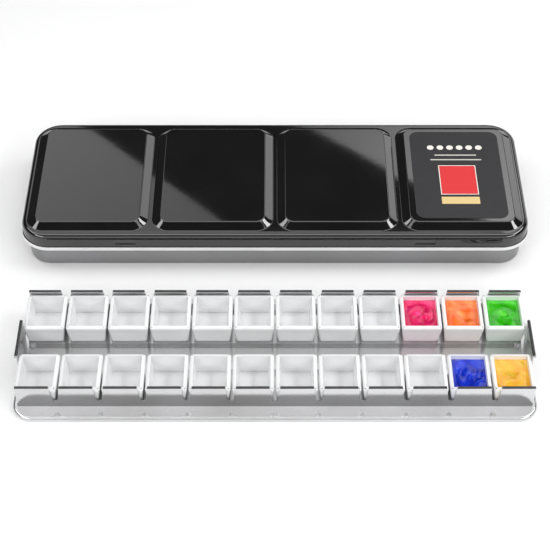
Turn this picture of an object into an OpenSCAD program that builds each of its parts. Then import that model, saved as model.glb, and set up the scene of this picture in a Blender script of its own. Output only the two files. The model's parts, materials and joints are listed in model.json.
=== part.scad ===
// Watercolour pan set: a hinged tin box, closed, and the lift-out tray that stands in front of it
// with two rows of half pans held between sheet-metal spring clips. All sizes are in millimetres.
// X runs along the set, +Y from the tray towards the tin, +Z up; the table is z = 0.

/* [Layout] */
// Clear space on the table between the tray and the closed tin
clear_gap = 18.9; // [12:0.1:40]

/* [Lid] */
// Length of the lid over its hem
lid_l = 212.8; // [212.6:0.1:225]
// Depth of the lid over its hem, front to back
lid_d = 73.8; // [73.6:0.1:80]
// Corner radius of the lid in plan, over the hem
lid_r = 12; // [10:0.1:12]
// Height of the lid's flat land above the table
land_z = 18.4; // [18:0.1:22]
// Height of the hem's lower edge above the table
hem_z = 10.5; // [10.3:0.1:11]
// Height of the rolled hem round the skirt
hem_h = 2.0; // [1.6:0.1:2.4]
// How far the hem stands proud of the skirt
hem_t = 0.45; // [0.3:0.05:0.6]
// Radius of the shoulder between skirt and land
shoulder_r = 1.9; // [1.2:0.1:2.4]
// Thickness of the tinplate
sheet = 0.5; // [0.4:0.05:0.6]
// Width of the two snap dimples in the front skirt
dimple_w = 9.4; // [6:0.2:10]
// Height of the snap dimples
dimple_h = 3.2; // [2:0.1:3.4]

/* [Lid panels] */
// Number of raised panels along the lid
panels = 4; // [2:1:4]
// Length of one panel's flat top
panel_w = 43.6; // [40:0.1:44]
// Depth of one panel's flat top
panel_d = 59.3; // [50:0.1:59.5]
// Corner radius of the flat top
panel_r = 4; // [3.5:0.1:5]
// Distance between panel centres
panel_pitch = 52.2; // [52:0.1:52.4]
// Height of a panel above the land
panel_h = 2.2; // [1.6:0.1:2.4]
// Width of the sloping edge round a panel
bevel_w = 3.4; // [2.8:0.1:3.5]
// Length of the printed label on the last panel
label_w = 38.5; // [20:0.5:39]
// Depth of the printed label
label_d = 55.4; // [30:0.1:57]
// Corner radius of the printed label
label_r = 4; // [2:0.5:5]

/* [Base] */
// How far the base wall stands in from the lid's hem
wall_inset = 2.6; // [2.4:0.1:3]
// Radius of the base's bottom edge
foot_r = 1.6; // [1:0.1:2]

/* [Hinges] */
// Distance of each hinge from the middle of the tin
hinge_x = 62; // [40:1:80]
// Radius of the hinge barrels
barrel_r = 1.1; // [1.0:0.05:1.2]
// Radius of the hinge pins
pin_r = 0.5; // [0.4:0.05:0.6]
// Length of each of the two knuckles on the base
base_knuckle = 4; // [3:0.5:6]
// Length of the knuckle on the lid
lid_knuckle = 7; // [5:0.5:10]

/* [Tray] */
// Length of the tray's plate
plate_l = 202.4; // [202.4:0.1:204]
// Depth of the tray's plate, front to back
plate_d = 63.6; // [62:0.1:64]
// Corner radius of the plate
plate_r = 8; // [6:0.5:9]
// Height of the plate's top above the table
plate_h = 1.8; // [1.5:0.1:2.4]
// Thickness of the tray's sheet
tray_sheet = 0.4; // [0.3:0.05:0.5]
// Height of the clips above the plate
clip_h = 11.3; // [11.2:0.1:12]
// Angle at which the clips flare outwards, in degrees
clip_lean = 2.5; // [0:0.5:4]
// Distance between clips along a rail
clip_pitch = 16.87; // [16.6:0.01:17]
// Width of the slot between two clips at its top
slot_top = 4.1; // [3:0.1:5]
// Width of the same slot at its rounded bottom
slot_bottom = 2.2; // [1.6:0.1:2.6]
// Height of the slot's bottom above the plate
slot_z = 3.4; // [2:0.1:5]
// Diameter of the lip that is curled over on top of each clip
curl_d = 1.3; // [1.2:0.05:1.4]
// Length of the stop at each end of the tray
stop_l = 19; // [10:0.5:24]

/* [Half pans] */
// Length of a pan's rim along the tray
pan_l = 16.3; // [15:0.1:16.4]
// Depth of a pan's rim across the tray
pan_d = 19; // [18:0.1:19]
// Height of a pan
pan_h = 9.2; // [8:0.1:9.6]
// Distance between pans along the tray
pan_pitch = 16.66; // [16.5:0.01:16.7]
// Clear width between the two rows at rim height
row_gap = 12.8; // [12:0.1:13.5]
// How far each side of a pan leans in from rim to foot
pan_taper = 1.15; // [0.6:0.05:1.2]
// Thickness of a pan's walls at the rim
pan_wall = 0.9; // [0.7:0.05:1.1]
// Depth of the colour below the rim in a filled pan
paint_drop = 1.9; // [1:0.1:4]

/* [Hidden] */
$fn = 48;
steps = 4;
cut = 1;
running_fit = 0.05;
press_fit = 0.01;
label_t = 0.12;

barrel_gap = 1.6;
hinge_reach = barrel_gap + barrel_r;
lid_top = land_z + panel_h;
overall_d = plate_d + clear_gap + lid_d + hinge_reach;
tray_y = plate_d / 2 - overall_d / 2;
tin_y = overall_d / 2 - hinge_reach - lid_d / 2;

base_l = lid_l - 2 * wall_inset;
base_d = lid_d - 2 * wall_inset;
base_r = lid_r - wall_inset;
rim_gap = 0.3;
skirt_gap = 0.6;
base_h = land_z - sheet - rim_gap;
rim_out = wall_inset - hem_t - sheet - skirt_gap;
rim_r = (rim_out + sheet) / 2;
dimple_x = lid_l * 0.2925;
dimple_z = hem_z + hem_h + 2.3;
dimple_dent = 0.35;
dimple_bump = 0.25;
dimple_slope = 0.7;
bevel_angle = atan(panel_h / bevel_w);

open_gap = 0.2;
pivot_y = lid_d / 2 + barrel_gap;
pivot_z = (lid_top + label_t + open_gap) / 2;
leaf_t = 0.5;
leaf_gap = 0.2;
knuckle_gap = 0.3;
pin_end = 0.3;
hinge_w = lid_knuckle + 2 * (base_knuckle + knuckle_gap);

columns = 12;
row_y = row_gap / 2 + pan_d / 2;
pan_gap = 0.2;
foot_gap = 0.2;
clip_y = row_gap / 2 + pan_d + pan_gap - pan_h * tan(clip_lean);
trough_top = row_gap + 2 * (pan_taper - foot_gap);
trough_wall = 1.0;
trough_slope = atan(trough_wall / plate_h);
trough_r = 3;
trough_end = 98.6;
floor_skim = 0.01;
bend_r = 1.0;
rail_l = columns * clip_pitch - slot_top;
stop_x = (columns - 1) / 2 * pan_pitch + pan_l / 2 + pan_gap;
stop_root = 0.3;
tongue_w = 6;
tongues = 6;

cavity_r = 1.8;
pan_r = 2.0;
pan_floor = 1.0;
floor_fillet = 0.6;
rim_chamfer = 0.2;

row_names = ["front", "rear"];
// Each filled pan: name, row, column, colour
paints = [
    ["magenta", 1, 9, [0.93, 0.1, 0.43]],
    ["orange", 1, 10, [1.0, 0.5, 0.2]],
    ["green", 1, 11, [0.2, 0.75, 0.05]],
    ["blue", 0, 10, [0.08, 0.18, 0.8]],
    ["yellow", 0, 11, [0.98, 0.7, 0.15]]
];

pan_nodes = [for (row = [0, 1], i = [0 : columns - 1]) pan_name(row, i)];
paint_nodes = [for (p = paints) paint_name(p)];
tin_nodes = ["tin_base", "lid", "label", "hinge_pin_left", "hinge_pin_right"];
tray_nodes = ["tray_plate", "front_clip_rail", "rear_clip_rail"];

function pan_name(row, i) = str("pan_", row_names[row], "_", i < 9 ? "0" : "", i + 1);

function paint_name(p) = str("paint_", p[0]);

// Points on an arc about [x, z] from angle a0 to a1
function arc(x, z, r, a0, a1) =
    [for (k = [0 : steps]) let (a = a0 + (a1 - a0) * k / steps) [x + r * cos(a), z + r * sin(a)]];

// The child outline, drawn from a corner's centre line outwards, carried round a rounded rectangle
module round_sweep(l, d, r) {
    for (a = [0, 1], b = [0, 1])
        mirror([a, 0, 0])
            mirror([0, b, 0])
                translate([l / 2 - r, d / 2 - r, 0])
                    rotate_extrude(angle = 90)
                        children();
    for (b = [0, 1])
        mirror([0, b, 0])
            translate([r - l / 2, d / 2 - r, 0])
                rotate([90, 0, 90])
                    linear_extrude(l - 2 * r)
                        children();
    for (a = [0, 1])
        mirror([a, 0, 0])
            translate([l / 2 - r, d / 2 - r, 0])
                rotate([90, 0, 0])
                    linear_extrude(d - 2 * r)
                        children();
}

// The same, filled in the middle from z0 to z1
module round_solid(l, d, r, z0, z1) {
    round_sweep(l, d, r)
        children();
    translate([r - l / 2, r - d / 2, z0])
        cube([l - 2 * r, d - 2 * r, z1 - z0]);
}

module at_tin() {
    translate([0, tin_y, 0])
        children();
}

module at_tray() {
    translate([0, tray_y, 0])
        children();
}

// ---- Tin ----

// The base's filled outer form, drawn in by a wall thickness
module base_form(inset, top) {
    r = base_r - inset;
    edge = foot_r - inset;
    round_solid(base_l - 2 * inset, base_d - 2 * inset, r, inset, top)
        polygon(concat([[0, inset]], arc(r - edge, inset + edge, edge, -90, 0), [[r, top], [0, top]]));
}

// A plain bushing along X, centred on the hinge line
module barrel(length) {
    rotate([0, 90, 0])
        cylinder(r = barrel_r, h = length, center = true);
}

module barrel_bore(length, r) {
    rotate([0, 90, 0])
        cylinder(r = r, h = length + 2 * cut, center = true);
}

// Two knuckles on a folded leaf that reaches out under the lid's hem from the back wall
module base_hinge() {
    reach = wall_inset + barrel_gap;
    knuckle_x = (hinge_w - base_knuckle) / 2;
    translate([-hinge_w / 2, -reach, -barrel_r])
        cube([hinge_w, wall_inset - leaf_gap, leaf_t]);
    for (s = [-1, 1])
        translate([s * knuckle_x, 0, 0])
            difference() {
                union() {
                    barrel(base_knuckle);
                    translate([-base_knuckle / 2, -reach, -barrel_r])
                        cube([base_knuckle, reach, leaf_t]);
                }
                barrel_bore(base_knuckle, pin_r - press_fit);
            }
}

module tin_base() {
    color("silver")
        at_tin() {
            difference() {
                base_form(0, base_h - rim_r);
                base_form(sheet, base_h);
            }
            round_sweep(base_l, base_d, base_r)
                translate([base_r + rim_out - rim_r, base_h - rim_r])
                    circle(rim_r);
            for (s = [-1, 1])
                translate([s * hinge_x, pivot_y, pivot_z])
                    base_hinge();
        }
}

// The lid's filled form without its panels, drawn in by a wall thickness
module lid_box(inset, bottom) {
    r = lid_r - hem_t - inset;
    edge = shoulder_r - inset;
    top = land_z - inset;
    round_solid(lid_l - 2 * (hem_t + inset), lid_d - 2 * (hem_t + inset), r, bottom, top)
        polygon(concat([[0, bottom], [r, bottom]], arc(r - edge, top - edge, edge, 0, 90), [[0, top]]));
}

// One raised panel: flat top, sloping edge, rounded crown and foot
module panel_form(inset) {
    shift = inset * tan(bevel_angle / 2);
    crown = 1.0;
    foot = 0.8;
    r = panel_r - shift;
    foot_x = r + bevel_w + foot * tan(bevel_angle / 2);
    crown_x = r - crown * tan(bevel_angle / 2);
    low = land_z - inset;
    top = lid_top - inset;
    round_solid(panel_w - 2 * shift, panel_d - 2 * shift, r, low - sheet, top)
        polygon(concat(
            [[0, low - sheet], [foot_x, low - sheet]],
            arc(foot_x, low + foot, foot, 270, 270 - bevel_angle),
            arc(crown_x, top - crown, crown, 90 - bevel_angle, 90),
            [[0, top]]
        ));
}

module lid_form(inset, bottom) {
    lid_box(inset, bottom);
    for (i = [0 : panels - 1])
        translate([(i - (panels - 1) / 2) * panel_pitch, 0, 0])
            panel_form(inset);
}

// The hem: the skirt's edge rolled outwards and flattened, with a rounded outer side
module hem() {
    round_sweep(lid_l, lid_d, lid_r)
        polygon(concat(
            [[lid_r - hem_t - sheet, hem_z + hem_t / 2]],
            arc(lid_r - hem_t, hem_z + hem_t, hem_t, -90, 0),
            arc(lid_r - hem_t, hem_z + hem_h - hem_t, hem_t, 0, 90),
            [[lid_r - hem_t - sheet, hem_z + hem_h]]
        ));
}

// A pressed rectangular dimple that rises towards +Y by a depth, its four sides sloping in
module dimple(depth) {
    w = dimple_w / 2;
    h = dimple_h / 2;
    skin = 0.1;
    intersection() {
        rotate([90, 0, 90])
            linear_extrude(dimple_w, center = true)
                polygon([
                    [-skin, -h],
                    [0, -h],
                    [depth, dimple_slope - h],
                    [depth, h - dimple_slope],
                    [0, h],
                    [-skin, h]
                ]);
        linear_extrude(dimple_h, center = true)
            polygon([
                [-w, -skin],
                [w, -skin],
                [w, 0],
                [w - dimple_slope, depth],
                [dimple_slope - w, depth],
                [-w, 0]
            ]);
    }
}

module lid() {
    skirt_y = hem_t - lid_d / 2;
    color([0.08, 0.08, 0.09])
        at_tin() {
            difference() {
                union() {
                    difference() {
                        lid_form(0, hem_z + hem_t);
                        lid_form(sheet, hem_z);
                    }
                    hem();
                    for (s = [-1, 1]) {
                        translate([s * hinge_x, pivot_y, pivot_z])
                            lid_hinge();
                        translate([s * dimple_x, skirt_y + sheet, dimple_z])
                            dimple(dimple_bump);
                    }
                }
                for (s = [-1, 1])
                    translate([s * dimple_x, skirt_y, dimple_z])
                        dimple(dimple_dent);
            }
        }
}

// One knuckle on a leaf that grows out of the hem
module lid_hinge() {
    difference() {
        union() {
            barrel(lid_knuckle);
            translate([-lid_knuckle / 2, -barrel_gap - hem_t, barrel_r - leaf_t])
                cube([lid_knuckle, barrel_gap + hem_t, leaf_t]);
        }
        barrel_bore(lid_knuckle, pin_r + running_fit);
    }
}

module label() {
    color([0.12, 0.12, 0.13])
        at_tin()
            translate([(panels - 1) / 2 * panel_pitch, 0, 0])
                round_solid(label_w, label_d, label_r, lid_top, lid_top + label_t)
                    translate([0, lid_top])
                        square([label_r, label_t]);
}

module hinge_pin(side) {
    color("gray")
        at_tin()
            translate([side * hinge_x, pivot_y, pivot_z])
                rotate([0, 90, 0])
                    cylinder(r = pin_r, h = hinge_w + 2 * pin_end, center = true);
}

// ---- Tray ----

// Section of the plate's edge: flat, bent down over a small radius to the table
module plate_edge() {
    x = plate_r - bend_r;
    z = plate_h - bend_r;
    polygon(concat(
        [[0, plate_h - tray_sheet], [x, plate_h - tray_sheet]],
        arc(x, z, bend_r - tray_sheet, 90, 0),
        [[plate_r - tray_sheet, 0], [plate_r, 0]],
        arc(x, z, bend_r, 0, 90),
        [[0, plate_h]]
    ));
}

// The sunk channel between the rows, drawn in by a wall thickness
module trough_form(inset) {
    shift = inset / cos(trough_slope);
    r = trough_r - shift;
    foot = r - trough_wall * (1 - inset / plate_h);
    top = plate_h + (inset > 0 ? floor_skim : 0);
    round_solid(2 * (trough_end - shift), trough_top - 2 * shift, r, inset, top)
        polygon([[0, inset], [foot, inset], [r, top], [0, top]]);
}

// Section of a sheet wall with its foot at 0: it leans towards -X, and its top edge is curled
// over a small bore to one side, 1 for back over the foot or -1 for away from it
module curled_section(lean, side) {
    r = curl_d / 2;
    neck = clip_h - r;
    out = neck * tan(lean);
    polygon([[0, 0], [-out, neck], [-out - tray_sheet, neck], [-tray_sheet, 0]]);
    translate([side * (r - tray_sheet / 2) - out - tray_sheet / 2, neck])
        difference() {
            circle(r);
            circle(r - tray_sheet);
            translate([side > 0 ? -curl_d : 0, -curl_d])
                square(curl_d);
        }
}

// A curled wall along X, centred, leaning towards -Y
module curled_wall(length, lean, side) {
    rotate([90, 0, 90])
        linear_extrude(length, center = true)
            curled_section(lean, side);
}

// The slots that the rail tongues are staked into
module tongue_row(height) {
    pitch = rail_l / tongues;
    for (i = [0 : tongues - 1])
        translate([(i - (tongues - 1) / 2) * pitch - tongue_w / 2, -clip_y - tray_sheet, 0])
            cube([tongue_w, tray_sheet, height]);
}

module tray_plate() {
    color("silver")
        at_tray() {
            difference() {
                round_solid(plate_l, plate_d, plate_r, plate_h - tray_sheet, plate_h)
                    plate_edge();
                trough_form(0);
                for (b = [0, 1])
                    mirror([0, b, 0])
                        tongue_row(plate_h + cut);
            }
            difference() {
                trough_form(0);
                trough_form(tray_sheet);
            }
            for (s = [-1, 1])
                rotate([0, 0, s * 90])
                    translate([0, -stop_x, plate_h - stop_root])
                        curled_wall(stop_l, 0, -1);
        }
}

// The V slot between two clips, with a round bottom
module clip_slot() {
    r = slot_bottom / 2;
    rotate([90, 0, 0])
        linear_extrude(2 * (curl_d + cut), center = true) {
            translate([0, slot_z + r])
                circle(r);
            polygon([
                [-r, slot_z + r],
                [r, slot_z + r],
                [slot_top / 2, clip_h],
                [slot_top / 2, clip_h + cut],
                [-slot_top / 2, clip_h + cut],
                [-slot_top / 2, clip_h]
            ]);
        }
}

// A comb of clips: one flared strip whose lips curl back over the pans, staked into the plate
// along its foot
module clip_rail() {
    translate([0, -clip_y, plate_h])
        difference() {
            curled_wall(rail_l, clip_lean, 1);
            for (i = [1 : columns - 1])
                translate([(i - columns / 2) * clip_pitch, 0, 0])
                    clip_slot();
        }
    translate([0, 0, plate_h - tray_sheet])
        tongue_row(tray_sheet);
}

module front_clip_rail() {
    color("silver")
        at_tray()
            clip_rail();
}

module rear_clip_rail() {
    color("silver")
        at_tray()
            mirror([0, 1, 0])
                clip_rail();
}

// ---- Half pans and their colours ----

// Where the pan in a row and column stands
module at_pan(row, i) {
    at_tray()
        translate([(i - (columns - 1) / 2) * pan_pitch, (row - 0.5) * 2 * row_y, plate_h])
            children();
}

// The pan's outer form, tapered, with a chamfered rim
module pan_body() {
    round_solid(pan_l, pan_d, pan_r, 0, pan_h)
        polygon([
            [0, 0],
            [pan_r - pan_taper, 0],
            [pan_r, pan_h - rim_chamfer],
            [pan_r - rim_chamfer, pan_h],
            [0, pan_h]
        ]);
}

// The pan's inside, up to a height, with a filleted floor
module pan_cavity(top) {
    lean = atan(pan_taper / pan_h);
    fillet_z = pan_floor + floor_fillet;
    fillet_x = cavity_r - (pan_h - fillet_z) * tan(lean) - floor_fillet / cos(lean);
    round_solid(pan_l - 2 * pan_wall, pan_d - 2 * pan_wall, cavity_r, pan_floor, top)
        polygon(concat(
            [[0, pan_floor]],
            arc(fillet_x, fillet_z, floor_fillet, -90, -lean),
            [[cavity_r - (pan_h - top) * tan(lean), top], [0, top]]
        ));
}

module half_pan(row, i) {
    color("white")
        at_pan(row, i)
            difference() {
                pan_body();
                pan_cavity(pan_h + cut);
            }
}

module paint(p) {
    color(p[3])
        at_pan(p[1], p[2])
            pan_cavity(pan_h - paint_drop);
}

tin_base();
lid();
label();
hinge_pin(-1);  // hinge_pin_left
hinge_pin(1);  // hinge_pin_right
tray_plate();
front_clip_rail();
rear_clip_rail();
for (row = [0, 1], i = [0 : columns - 1])
    half_pan(row, i);
for (p = paints)
    paint(p);
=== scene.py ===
import json
import math
import bmesh
import bpy
from mathutils import Matrix, Quaternion, Vector

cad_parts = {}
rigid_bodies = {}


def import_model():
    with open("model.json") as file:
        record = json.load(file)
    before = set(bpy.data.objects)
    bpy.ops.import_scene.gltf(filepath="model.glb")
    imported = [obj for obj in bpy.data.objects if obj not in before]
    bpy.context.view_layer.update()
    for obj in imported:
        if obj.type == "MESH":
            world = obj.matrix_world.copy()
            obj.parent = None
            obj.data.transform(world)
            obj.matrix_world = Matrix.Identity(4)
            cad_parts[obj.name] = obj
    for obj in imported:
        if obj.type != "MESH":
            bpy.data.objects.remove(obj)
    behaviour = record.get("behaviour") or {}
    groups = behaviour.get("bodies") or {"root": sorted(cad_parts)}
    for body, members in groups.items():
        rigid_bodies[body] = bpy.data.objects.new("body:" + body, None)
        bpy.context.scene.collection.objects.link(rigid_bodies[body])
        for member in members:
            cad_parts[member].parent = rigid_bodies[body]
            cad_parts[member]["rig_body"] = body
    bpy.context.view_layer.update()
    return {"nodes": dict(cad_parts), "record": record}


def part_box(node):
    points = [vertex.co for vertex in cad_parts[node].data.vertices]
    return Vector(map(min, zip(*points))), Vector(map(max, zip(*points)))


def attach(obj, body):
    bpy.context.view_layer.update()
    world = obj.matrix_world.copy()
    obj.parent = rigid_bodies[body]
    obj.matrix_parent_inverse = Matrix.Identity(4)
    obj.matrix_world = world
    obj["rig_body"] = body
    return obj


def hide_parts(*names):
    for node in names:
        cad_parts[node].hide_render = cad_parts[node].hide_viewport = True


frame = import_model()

record = frame["record"]
nodes = frame["nodes"]
mm = 0.001
print("frame loaded:", len(nodes), "nodes")


def middle(name):
    low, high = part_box(name)
    return (low + high) / 2


class Wire:
    # a socket of one node tree; Python's operators on it add Math nodes
    def __init__(self, tree, socket=None):
        self.tree = tree
        self.socket = socket

    def plug(self, target, value):
        if isinstance(value, Wire):
            self.tree.links.new(value.socket, target)
        else:
            target.default_value = value

    def make(self, kind, settings=None, inputs=None, output=0):
        node = self.tree.nodes.new("ShaderNode" + kind)
        for name, value in (settings or {}).items():
            if name == "stops":
                while len(node.color_ramp.elements) < len(value):
                    node.color_ramp.elements.new(0.5)
                for element, (place, colour) in zip(node.color_ramp.elements, value):
                    element.position = place
                    element.color = colour if len(colour) == 4 else (*colour, 1)
            else:
                setattr(node, name, value)
        for name, value in (inputs or {}).items():
            self.plug(node.inputs[name], value)
        return Wire(self.tree, node.outputs[output])

    def maths(self, operation, *values):
        return self.make("Math", {"operation": operation}, dict(enumerate(values)))

    def __add__(self, other):
        return self.maths("ADD", self, other)

    def __radd__(self, other):
        return self.maths("ADD", other, self)

    def __sub__(self, other):
        return self.maths("SUBTRACT", self, other)

    def __rsub__(self, other):
        return self.maths("SUBTRACT", other, self)

    def __mul__(self, other):
        return self.maths("MULTIPLY", self, other)

    def __rmul__(self, other):
        return self.maths("MULTIPLY", other, self)

    def __abs__(self):
        return self.maths("ABSOLUTE", self)

    def __lt__(self, other):
        return self.maths("LESS_THAN", self, other)

    def __gt__(self, other):
        return self.maths("GREATER_THAN", self, other)

    def mixTo(self, factor, other):  # this colour towards another one
        return self.make("MixRGB", {}, {"Fac": factor, "Color1": self, "Color2": other})


def newMaterial(name, **constants):
    material = bpy.data.materials.new(name)
    material.use_nodes = True
    tree = material.node_tree
    shader = tree.nodes["Principled BSDF"]
    for socket, value in constants.items():
        shader.inputs[socket.replace("_", " ")].default_value = value
    return material, Wire(tree), shader


def objectSpace(wire, scale=(1, 1, 1), place=(0, 0, 0)):
    coords = wire.make("TexCoord", output="Object")
    return wire.make("Mapping", {}, {"Vector": coords, "Scale": scale, "Location": place})


def colour(*rgb):
    return (*rgb, 1)


# the lip depth is how far down a curl its upper side reaches, in mm; that side is painted near-black
# steel as painted shade, for the shadowed gap behind each lip
# the tin's tone keeps its steel far darker than the tray's, though both are the same tinplate: painted
# shade for the dim surroundings its walls reflect
steelLook = {"trayTone": 0.68, "tinShadeTone": 0.30, "lipShadeTone": 0.10, "plateRoughness": 0.17,
             "railRoughness": 0.12, "tinRoughness": 0.30, "grain": 0.015,
             "lipShadeDepth": 1.2, "lipShadeFacing": 0.3}


def steelMaterial(name, roughness, tone):
    material, wire, shader = newMaterial(name, Metallic=1.0)
    grain = wire.make("TexNoise", {}, {
        "Vector": objectSpace(wire, (60, 2400, 2400)), "Scale": 1.0, "Detail": 3.0})
    cloud = wire.make("TexNoise", {}, {
        "Vector": objectSpace(wire, (30, 30, 30)), "Scale": 1.0, "Detail": 2.0})
    tint = wire.make("ValToRGB", {"stops": [
        (0.3, [tone * 0.9] * 3), (0.7, [tone * 1.04, tone * 1.04, tone * 1.06])]}, {"Fac": cloud})
    wire.plug(shader.inputs["Base Color"], tint)
    wire.plug(shader.inputs["Roughness"], (grain - 0.5) * 0.05 + cloud * 0.04 + roughness)
    bump = wire.make("Bump", {}, {"Strength": steelLook["grain"], "Distance": 0.0002, "Height": grain})
    wire.plug(shader.inputs["Normal"], bump)
    return material


def lacquerMaterial():
    material, wire, shader = newMaterial("blackLacquer", IOR=1.8)
    peel = wire.make("TexNoise", {}, {
        "Vector": objectSpace(wire, (260, 260, 260)), "Scale": 1.0, "Detail": 2.0})
    dust = wire.make("TexNoise", {}, {
        "Vector": objectSpace(wire, (45, 45, 45)), "Scale": 1.0, "Detail": 6.0})
    body = wire.make("ValToRGB", {"stops": [
        (0.35, (0.0035, 0.0035, 0.0038)), (0.75, (0.0055, 0.0055, 0.006))]}, {"Fac": dust})
    wire.plug(shader.inputs["Base Color"], body)
    wire.plug(shader.inputs["Roughness"], dust * 0.03 + 0.03)
    bump = wire.make("Bump", {}, {"Strength": 0.03, "Distance": 0.0001, "Height": peel})
    wire.plug(shader.inputs["Normal"], bump)
    return material


def enamelMaterial():
    material, wire, shader = newMaterial("whiteEnamel", IOR=1.5)
    cloud = wire.make("TexNoise", {}, {
        "Vector": objectSpace(wire, (60, 60, 60)), "Scale": 1.0, "Detail": 4.0})
    body = wire.make("ValToRGB", {"stops": [
        (0.3, (0.80, 0.80, 0.80)), (0.7, (0.86, 0.86, 0.855))]}, {"Fac": cloud})
    wire.plug(shader.inputs["Base Color"], body)
    wire.plug(shader.inputs["Roughness"], cloud * 0.06 + 0.10)
    bump = wire.make("Bump", {}, {"Strength": 0.02, "Distance": 0.0002, "Height": cloud})
    wire.plug(shader.inputs["Normal"], bump)
    return material


labelPrint = {
    "film": (0.019, 0.019, 0.021), "red": (0.64, 0.022, 0.026), "gold": (0.74, 0.56, 0.25),
    "pale": (0.78, 0.76, 0.70), "redSize": (16.0, 18.6), "goldSize": (16.0, 4.4),
    "dotPitch": 4.2, "dots": 6, "dotRadius": 1.45, "ruleWidths": (18.0, 22.0),
    "ruleDrops": (5.0, 8.0), "ruleHeight": 0.7, "ruleInk": 0.7, "outline": 0.7,
    "redFromBack": 31.6, "goldGap": 1.4, "dotsFromBack": 10.6,
}


def labelMaterial():
    material, wire, shader = newMaterial("labelFilm", IOR=1.45)
    centre = middle("label")
    low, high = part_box("label")
    space = objectSpace(wire, (1000, 1000, 1000), (-centre.x * 1000, -centre.y * 1000, 0))
    axes = wire.make("SeparateXYZ", {}, {"Vector": space})
    x = axes
    y = Wire(axes.tree, axes.socket.node.outputs[1])

    def patch(cx, cy, w, h):
        return (abs(x - cx) < w / 2) * (abs(y - cy) < h / 2)

    p = labelPrint
    depth = (high.y - low.y) / mm
    redY = depth * 0.5 - p["redFromBack"]
    goldY = redY - p["redSize"][1] / 2 - p["goldGap"] - p["goldSize"][1] / 2
    dotY = depth * 0.5 - p["dotsFromBack"]
    film = wire.make("TexNoise", {}, {"Vector": space, "Scale": 0.3, "Detail": 5.0})
    look = wire.make("ValToRGB", {"stops": [
        (0.3, [c * 0.9 for c in p["film"]]), (0.7, [c * 1.12 for c in p["film"]])]}, {"Fac": film})
    ink = patch(0, redY, p["redSize"][0], p["redSize"][1])
    inner = patch(0, redY, p["redSize"][0] - p["outline"], p["redSize"][1] - p["outline"])
    gold = patch(0, goldY, *p["goldSize"])
    step = p["dotPitch"]
    cell = wire.maths("PINGPONG", x, step / 2)
    near = wire.maths("POWER", cell - step / 2, 2) + wire.maths("POWER", y - dotY, 2)
    dots = (near < p["dotRadius"] ** 2) * (abs(x) < step * p["dots"] / 2)
    ruleA = patch(0, dotY - p["ruleDrops"][0], p["ruleWidths"][0], p["ruleHeight"])
    ruleB = patch(0, dotY - p["ruleDrops"][1], p["ruleWidths"][1], p["ruleHeight"])
    look = look.mixTo(ink, colour(*p["pale"]))
    look = look.mixTo(inner, colour(*p["red"]))
    look = look.mixTo(gold, colour(*p["gold"]))
    rules = wire.maths("MAXIMUM", ruleA * p["ruleInk"], ruleB * p["ruleInk"])
    look = look.mixTo(wire.maths("MAXIMUM", dots, rules), colour(*p["pale"]))
    wire.plug(shader.inputs["Base Color"], look)
    wire.plug(shader.inputs["Roughness"], film * 0.1 + 0.42 - inner * 0.1 - gold * 0.15)
    wire.plug(shader.inputs["Metallic"], gold * 0.35)
    return material


panLook = {"white": (0.80, 0.805, 0.81), "gloss": 0.16, "tint": 0.16}


def panMaterial(name="panPlastic", tint=None):
    # a filled pan lets its colour shine through a little
    material, wire, shader = newMaterial(name, IOR=1.5)
    haze = wire.make("TexNoise", {}, {
        "Vector": objectSpace(wire, (140, 140, 140)), "Scale": 1.0, "Detail": 4.0})
    white = panLook["white"]
    body = wire.make("ValToRGB", {"stops": [
        (0.3, [c * 0.975 for c in white]), (0.7, [c * 1.02 for c in white])]}, {"Fac": haze})
    if tint:
        height = wire.make("SeparateXYZ", {}, {"Vector": objectSpace(wire)}, 2)
        low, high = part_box("pan_front_01")
        depth = wire.make("MapRange", {}, {
            "Value": height, "From Min": low.z, "From Max": high.z - 1.5 * mm,
            "To Min": panLook["tint"], "To Max": panLook["tint"] * 0.35})
        body = body.mixTo(depth, colour(*tint))
    wire.plug(shader.inputs["Base Color"], body)
    wire.plug(shader.inputs["Roughness"], haze * 0.12 + panLook["gloss"])
    bump = wire.make("Bump", {}, {"Strength": 0.05, "Distance": 0.0002, "Height": haze})
    wire.plug(shader.inputs["Normal"], bump)
    return material


def floorMaterial():
    material, wire, shader = newMaterial("tableTop", Roughness=0.9)
    speck = wire.make("TexNoise", {}, {
        "Vector": objectSpace(wire, (8, 8, 8)), "Scale": 1.0, "Detail": 2.0})
    wire.plug(shader.inputs["Base Color"], wire.make("ValToRGB", {"stops": [
        (0.3, (0.88, 0.88, 0.885)), (0.7, (0.90, 0.90, 0.905))]}, {"Fac": speck}))
    return material


blackLacquer = lacquerMaterial()
whiteEnamel = enamelMaterial()
# painted shade: the darker steel of the tin base, also used for the hinge pins
shadedTinSteel = steelMaterial("shadedTinSteel", steelLook["tinRoughness"], steelLook["tinShadeTone"])
plateSteel = steelMaterial("plateSteel", steelLook["plateRoughness"], steelLook["trayTone"])
railSteel = steelMaterial("railSteel", steelLook["railRoughness"], steelLook["trayTone"])
# painted shade: near-black steel laid on the curls' upper sides for the shadowed gap behind each lip
lipShadeSteel = steelMaterial("lipShadeSteel", steelLook["railRoughness"], steelLook["lipShadeTone"])
labelFilm = labelMaterial()
panPlastic = panMaterial()
print("materials made")


def clearSelection():
    if bpy.context.object and bpy.context.object.mode != "OBJECT":
        bpy.ops.object.mode_set(mode="OBJECT")
    bpy.ops.object.select_all(action="DESELECT")


def pick(piece):
    clearSelection()
    piece.select_set(True)
    bpy.context.view_layer.objects.active = piece


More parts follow.
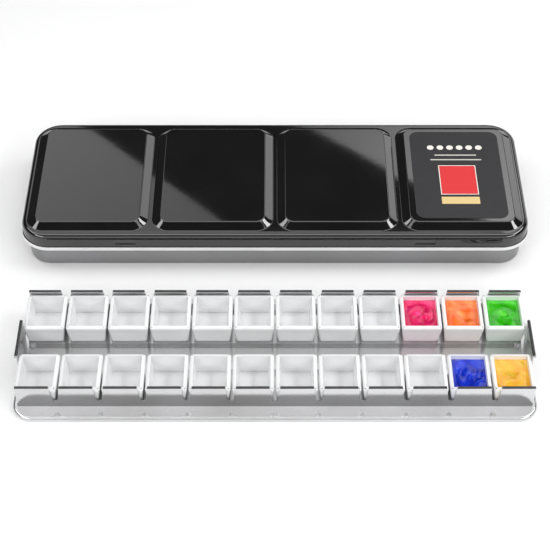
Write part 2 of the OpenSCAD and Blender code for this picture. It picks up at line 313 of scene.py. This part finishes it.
def smoothCopy(node, angle=32):  # the node's shape with its triangles joined and smoothed
    mesh = nodes[node].data.copy()
    mesh.materials.clear()
    piece = bpy.data.objects.new(node + "_skin", mesh)
    bpy.context.scene.collection.objects.link(piece)
    pick(piece)
    bpy.ops.object.mode_set(mode="EDIT")
    bpy.ops.mesh.select_all(action="SELECT")
    bpy.ops.mesh.remove_doubles(threshold=0.000002)
    bpy.ops.mesh.dissolve_limited(angle_limit=math.radians(0.3))
    bpy.ops.object.mode_set(mode="OBJECT")
    bpy.ops.object.shade_smooth_by_angle(angle=math.radians(angle))
    bpy.ops.object.modifier_add(type="WEIGHTED_NORMAL")
    piece.modifiers[-1].keep_sharp = True
    piece.modifiers[-1].weight = 100
    bpy.ops.object.modifier_apply(modifier=piece.modifiers[-1].name)
    return piece


def finishPiece(piece, node):
    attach(piece, nodes[node]["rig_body"])
    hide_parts(node)


# hemRise is the height of the white hem in mm; a face is outside where a ray from it runs free
lidLook = {"hemRise": 3.0, "rayStart": 0.02, "rayReach": 0.3, "facing": 0.3}


def makeLid():
    piece = smoothCopy("lid")
    piece.data.materials.append(blackLacquer)
    piece.data.materials.append(whiteEnamel)
    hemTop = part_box("lid")[0].z + lidLook["hemRise"] * mm
    mesh = piece.data
    solid = piece.evaluated_get(bpy.context.evaluated_depsgraph_get())
    heart = middle("lid")
    mesh.calc_loop_triangles()
    spots = {}  # a point well inside each face, which a large face's own centre needn't be
    for part in mesh.loop_triangles:
        if part.area > spots.get(part.polygon_index, (-1, None))[0]:
            corners = [mesh.vertices[v].co for v in part.vertices]
            spots[part.polygon_index] = (part.area, (corners[0] + corners[1] + corners[2]) / 3)
    for face in mesh.polygons:
        spot = spots[face.index][1]
        start = spot + face.normal * lidLook["rayStart"] * mm
        across = Vector((0, start.y - heart.y, 0)).normalized()
        along = Vector((start.x - heart.x, 0, 0)).normalized()
        seen = [not solid.ray_cast(start, way, distance=lidLook["rayReach"])[0]
                for way in (Vector((0, 0, 1)), across, along)]
        outside = seen[0] or seen[1] and face.normal.dot(across) > lidLook["facing"]
        outside = outside or seen[2] and face.normal.dot(along) > lidLook["facing"]
        face.material_index = 0 if outside and spot.z > hemTop else 1
    finishPiece(piece, "lid")


def makeSteel():
    base = smoothCopy("tin_base")
    base.data.materials.append(shadedTinSteel)
    finishPiece(base, "tin_base")
    for node in ("tray_plate", "front_clip_rail", "rear_clip_rail"):
        piece = smoothCopy(node)
        piece.data.materials.append(plateSteel if node == "tray_plate" else railSteel)
        piece.data.materials.append(lipShadeSteel)
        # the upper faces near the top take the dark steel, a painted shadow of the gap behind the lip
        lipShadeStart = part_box(node)[1].z - steelLook["lipShadeDepth"] * mm
        for face in piece.data.polygons:
            if face.center.z > lipShadeStart and face.normal.z > steelLook["lipShadeFacing"]:
                face.material_index = 1
        finishPiece(piece, node)


# body colour, its light and dark streaks, the middle of the swirl as parts of the cup, its
# turns, the height of its ridges in mm, and the dab left by the spatula: place, size, height
paintLook = {
    "paint_magenta": {"body": (0.88, 0.010, 0.14), "light": (0.94, 0.08, 0.30),
                      "dark": (0.66, 0.008, 0.09),
                      "eye": (0.02, -0.02), "turns": 2.2, "ridge": 0.40, "phase": 0.4,
                      "dab": (0.12, -0.27, 1.6, 0.35)},
    "paint_orange": {"body": (1.0, 0.22, 0.035), "light": (1.0, 0.42, 0.12),
                     "dark": (0.98, 0.13, 0.012),
                     "eye": (0.10, 0.08), "turns": 1.2, "ridge": 0.34, "phase": 2.1,
                     "dab": (0.20, -0.28, 2.0, 0.45)},
    "paint_green": {"body": (0.035, 0.58, 0.006), "light": (0.12, 0.74, 0.03),
                    "dark": (0.03, 0.40, 0.008),
                    "eye": (0.10, -0.05), "turns": 1.7, "ridge": 0.42, "phase": 1.2,
                    "dab": (0.24, -0.25, 1.7, 0.45)},
    "paint_blue": {"body": (0.005, 0.03, 0.58), "light": (0.02, 0.08, 0.75),
                   "dark": (0.003, 0.015, 0.36),
                   "eye": (0.12, 0.02), "turns": 2.0, "ridge": 0.46, "phase": 3.0,
                   "dab": (0.24, -0.22, 1.7, 0.35)},
    "paint_yellow": {"body": (0.96, 0.52, 0.03), "light": (1.0, 0.70, 0.10),
                     "dark": (0.94, 0.42, 0.03),
                     "eye": (-0.02, -0.06), "turns": 1.4, "ridge": 0.40, "phase": 5.0,
                     "dab": (0.16, -0.10, 2.6, 0.35)},
}


def paintMaterial(node):
    look = paintLook[node]
    material, wire, shader = newMaterial(node, IOR=1.45, Coat_Roughness=0.03, Coat_IOR=1.5)
    centre = middle(node)
    space = objectSpace(wire, (1000, 1000, 1000), [-c * 1000 for c in centre])
    bend = wire.make("TexNoise", {}, {"Vector": space, "Scale": 0.12, "Detail": 2.0}, 1)
    swept = wire.make("VectorMath", {"operation": "MULTIPLY_ADD"}, {0: bend, 1: (9, 9, 9), 2: space})
    streak = wire.make("TexNoise", {}, {"Vector": swept, "Scale": 0.22, "Detail": 2.0, "Roughness": 0.4})
    body = wire.make("ValToRGB", {"stops": [
        (0.30, look["dark"]), (0.48, look["body"]), (0.56, look["body"]), (0.74, look["light"])]},
        {"Fac": streak})
    wire.plug(shader.inputs["Base Color"], body)
    wire.plug(shader.inputs["Roughness"], streak * 0.14 + 0.06)
    wire.plug(shader.inputs["Coat Weight"], streak * 0.5 + 0.6)
    grit = wire.make("TexNoise", {}, {"Vector": swept, "Scale": 1.4, "Detail": 3.0})
    bump = wire.make("Bump", {}, {"Strength": 0.10, "Distance": 0.0002, "Height": grit})
    wire.plug(shader.inputs["Normal"], bump)
    return material


# in mm: grid is the spacing of the surface's points, edge how wide the swirl dies out at the
# walls, wet and wetReach how high the colour climbs them and from how far
swirlShape = {"grid": 0.4, "squash": 0.85, "edge": 2.2, "wet": 0.28, "wetReach": 0.5}


def swirlHeight(x, y, width, depth, look):  # millimetres above the level surface
    ex, ey = look["eye"][0] * width, look["eye"][1] * depth
    dx, dy = x - ex, (y - ey) * swirlShape["squash"]
    reach = math.hypot(dx, dy)
    angle = math.atan2(dy, dx)
    wave = math.sin(reach / width * 2 * math.pi * look["turns"] - angle + look["phase"])
    slow = math.sin(1.9 * angle + 0.5 * reach + look["phase"] * 2)
    ridge = look["ridge"] * (wave * 0.75 + 0.35 * slow * wave + 0.15 * slow)
    px, py, size, top = look["dab"]
    away = math.hypot(x - px * width, (y - py * depth) * 0.8) / size
    dab = top * max(0.0, 1 - away * away) ** 1.5
    wall = min(width / 2 - abs(x), depth / 2 - abs(y))
    edge = min(1.0, max(0.0, wall / swirlShape["edge"]))
    edge = edge * edge * (3 - 2 * edge)
    rise = swirlShape["wet"] * math.exp(-wall / swirlShape["wetReach"])
    return (ridge + dab) * edge + rise


def makePaint(node):
    look = paintLook[node]
    low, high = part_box(node)
    piece = smoothCopy(node, 180)
    pick(piece)
    bpy.ops.object.mode_set(mode="EDIT")
    bpy.ops.mesh.select_mode(type="FACE")
    for axis, start, end in ((0, low.x, high.x), (1, low.y, high.y)):
        count = round((end - start) / (swirlShape["grid"] * mm))
        for i in range(1, count):
            place, normal = [0, 0, 0], [0, 0, 0]
            place[axis] = start + (end - start) * i / count
            normal[axis] = 1
            shape = bmesh.from_edit_mesh(piece.data)
            for face in shape.faces:
                face.select = face.normal.z > 0.9 and face.calc_center_median().z > high.z - 0.01 * mm
            bmesh.update_edit_mesh(piece.data)
            bpy.ops.mesh.bisect(plane_co=place, plane_no=normal)
    bpy.ops.object.mode_set(mode="OBJECT")
    centre = (low + high) / 2
    for vertex in piece.data.vertices:
        if vertex.co.z > high.z - 0.001 * mm:
            x, y = (vertex.co.x - centre.x) / mm, (vertex.co.y - centre.y) / mm
            lift = swirlHeight(x, y, (high.x - low.x) / mm, (high.y - low.y) / mm, look)
            vertex.co.z += lift * mm
    pick(piece)
    bpy.ops.object.shade_smooth()
    piece.data.materials.append(paintMaterial(node))
    finishPiece(piece, node)


panShape = {"wall": 0.78, "foot": 1.15, "corner": 1.1, "floor": 1.0,
            "rimEdge": 0.16, "floorEdge": 0.55, "footEdge": 0.25}


def pickEdges(piece, test):  # selects the edges whose two ends pass a test
    bpy.ops.mesh.select_mode(type="EDGE")
    bpy.ops.mesh.select_all(action="DESELECT")
    shape = bmesh.from_edit_mesh(piece.data)
    for edge in shape.edges:
        edge.select = test(edge.verts[0].co, edge.verts[1].co)
    shape.select_flush(True)
    bmesh.update_edit_mesh(piece.data)


def pickFaces(piece, test):
    bpy.ops.mesh.select_mode(type="FACE")
    bpy.ops.mesh.select_all(action="DESELECT")
    shape = bmesh.from_edit_mesh(piece.data)
    for face in shape.faces:
        face.select = test(face.calc_center_median(), face.normal)
    bmesh.update_edit_mesh(piece.data)


def modelPan():  # the first pan of the front row, from a block: tapered, hollowed, its edges eased
    low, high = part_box("pan_front_01")
    size = high - low
    centre = (low + high) / 2
    clearSelection()
    bpy.ops.mesh.primitive_cube_add(size=1, location=centre, scale=size)
    bpy.ops.object.transform_apply(location=True, rotation=True, scale=True)
    pan = bpy.context.object
    shape = panShape
    bpy.ops.object.mode_set(mode="EDIT")
    pickFaces(pan, lambda place, normal: normal.z < -0.9)
    taper = 2 * shape["foot"] * mm
    bpy.ops.transform.resize(value=(1 - taper / size.x, 1 - taper / size.y, 1),
                             center_override=(centre.x, centre.y, low.z))
    pickEdges(pan, lambda a, b: abs(a.z - b.z) > size.z / 2)
    bpy.ops.mesh.bevel(offset=shape["corner"] * mm, segments=5, affect="EDGES")
    pickFaces(pan, lambda place, normal: normal.z > 0.9)
    bpy.ops.mesh.inset(thickness=shape["wall"] * mm)
    drop = size.z - shape["floor"] * mm
    bpy.ops.mesh.extrude_region_move(TRANSFORM_OT_translate={"value": (0, 0, -drop)})
    inner = taper * drop / size.z
    bpy.ops.transform.resize(value=(1 - inner / (size.x - 2 * shape["wall"] * mm),
                                    1 - inner / (size.y - 2 * shape["wall"] * mm), 1),
                             center_override=(centre.x, centre.y, low.z + shape["floor"] * mm))
    hair = 0.01 * mm
    floorZ = low.z + shape["floor"] * mm
    pickEdges(pan, lambda a, b: abs(a.z - floorZ) < hair and abs(b.z - floorZ) < hair)
    bpy.ops.mesh.bevel(offset=shape["floorEdge"] * mm, segments=3, affect="EDGES")
    pickEdges(pan, lambda a, b: abs(a.z - high.z) < hair and abs(b.z - high.z) < hair)
    bpy.ops.mesh.bevel(offset=shape["rimEdge"] * mm, segments=2, affect="EDGES")
    pickEdges(pan, lambda a, b: abs(a.z - low.z) < hair and abs(b.z - low.z) < hair)
    bpy.ops.mesh.bevel(offset=shape["footEdge"] * mm, segments=2, affect="EDGES")
    bpy.ops.mesh.select_all(action="SELECT")
    bpy.ops.mesh.remove_doubles(threshold=0.00001)
    bpy.ops.mesh.normals_make_consistent(inside=False)
    bpy.ops.object.mode_set(mode="OBJECT")
    bpy.ops.object.shade_smooth_by_angle(angle=math.radians(35))
    bpy.ops.object.modifier_add(type="WEIGHTED_NORMAL")
    pan.modifiers[-1].keep_sharp = True
    bpy.ops.object.modifier_apply(modifier=pan.modifiers[-1].name)
    return pan


def makePans():
    bodies = record["behaviour"]["bodies"]
    master = modelPan()
    first = middle("pan_front_01")
    for node in nodes:
        if node.startswith("pan_"):
            inside = [n for n in bodies[node] if n.startswith("paint_")]
            if node == "pan_front_01":
                piece = master
            else:
                piece = bpy.data.objects.new(node + "_cup", master.data.copy())
                bpy.context.scene.collection.objects.link(piece)
                piece.data.transform(Matrix.Translation(middle(node) - first))
                piece.data.materials.clear()
            plastic = panPlastic
            if inside:
                plastic = panMaterial("panPlastic_" + inside[0], paintLook[inside[0]]["light"])
            piece.data.materials.append(plastic)
            finishPiece(piece, node)


def dressNodes():
    for node in ("hinge_pin_left", "hinge_pin_right"):
        nodes[node].data.materials.clear()
        nodes[node].data.materials.append(shadedTinSteel)
    nodes["label"].data.materials.clear()
    nodes["label"].data.materials.append(labelFilm)


makeLid()
makeSteel()
makePans()
for paint in paintLook:
    makePaint(paint)
dressNodes()
print("pieces made")


def makeFloor():
    clearSelection()
    bpy.ops.mesh.primitive_plane_add(size=6, location=(0, 0, 0))
    floor = bpy.context.object
    floor.name = "tableTop"
    floor.data.materials.append(floorMaterial())


# name, middle, the point it faces, width, height, turn about its own axis, radiance at its
# left and right ends
softboxes = [
    ("backLeft", (-0.165, 0.489, 0.45), (-0.165, 0.489, 0), 0.30, 0.135, -45, (1.3, 0.72)),
    ("backRight", (0.155, 0.578, 0.45), (0.155, 0.578, 0), 0.30, 0.15, -39.7, (0.7, 2.9)),
    ("backTray", (0, 0.315, 0.44), (0, 0.315, 0), 0.60, 0.25, 0, (1.05, 1.05)),
    ("lowRight", (0.60, 0.70, 0.26), (0, 0.04, 0.02), 0.60, 0.30, 0, (1.5, 1.5)),
    ("overhead", (0, 0.16, 1.0), (0, 0.05, 0), 1.4, 0.5, 0, (2.2, 2.2)),
    ("keyRight", (0.72, 0.06, 0.74), (0, 0.02, 0), 0.80, 0.18, 0, (8.6, 8.6)),
    ("keyLeft", (-0.72, 0.06, 0.74), (0, 0.02, 0), 0.80, 0.18, 0, (4.7, 4.7)),
    ("frontLow", (0, -0.987, 0.623), (0, -0.08, 0), 1.27, 0.57, 0, (1.6, 1.6)),
    ("frontHigh", (0, -0.719, 0.896), (0, -0.08, 0), 1.2, 0.212, 0, (0.45, 0.45)),
    ("frontRight", (0.75, -0.75, 0.62), (0, -0.05, 0), 0.6, 0.4, 0, (5.5, 5.5)),
    ("frontLeft", (-0.75, -0.75, 0.62), (0, -0.05, 0), 0.6, 0.4, 0, (5.5, 5.5)),
]


def softboxMaterial(name, ends):
    material, wire, shader = newMaterial(name, Base_Color=colour(0, 0, 0), Roughness=1.0)
    shader.inputs["Specular IOR Level"].default_value = 0
    along = wire.make("SeparateXYZ", {}, {"Vector": wire.make("TexCoord", output="Object")})
    peak = max(ends)
    ramp = wire.make("ValToRGB", {"stops": [
        (0, [ends[0] / peak] * 3), (1, [ends[1] / peak] * 3)]}, {"Fac": along + 0.5})
    wire.plug(shader.inputs["Emission Color"], ramp)
    shader.inputs["Emission Strength"].default_value = peak
    return material


def addSoftbox(name, place, target, width, height, turn, ends):
    clearSelection()
    bpy.ops.mesh.primitive_plane_add(size=1, location=place)
    lamp = bpy.context.object
    lamp.name = name
    lamp.scale = (width, height, 1)
    lamp.rotation_mode = "QUATERNION"
    aim = (Vector(target) - Vector(place)).to_track_quat("-Z", "Y")
    lamp.rotation_quaternion = aim @ Quaternion((0, 0, 1), math.radians(turn))
    lamp.data.materials.append(softboxMaterial(name, ends))
    lamp.visible_camera = False


worldTone = 0.06


def makeLights():
    for row in softboxes:
        addSoftbox(*row)
    world = bpy.data.worlds.new("studio")
    bpy.context.scene.world = world
    world.use_nodes = True
    world.node_tree.nodes["Background"].inputs["Color"].default_value = colour(*[worldTone] * 3)


cameraSet = {"lens": 98.73, "sensor": 36.0, "pitch": 45.5, "beforeTray": 396.75, "height": 449.8}


def makeCamera():
    lens = bpy.data.cameras.new("camera")
    lens.lens, lens.sensor_width = cameraSet["lens"], cameraSet["sensor"]
    lens.clip_start, lens.clip_end = 0.01, 20
    eye = bpy.data.objects.new("camera", lens)
    bpy.context.scene.collection.objects.link(eye)
    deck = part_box("pan_front_01")[0].z
    back = middle("tray_plate").y - cameraSet["beforeTray"] * mm
    eye.location = (0, back, deck + cameraSet["height"] * mm)
    eye.rotation_euler = (math.radians(90 - cameraSet["pitch"]), 0, 0)
    bpy.context.scene.camera = eye


makeFloor()
makeLights()
makeCamera()
bpy.context.scene.view_settings.view_transform = "Standard"
print("stage set")
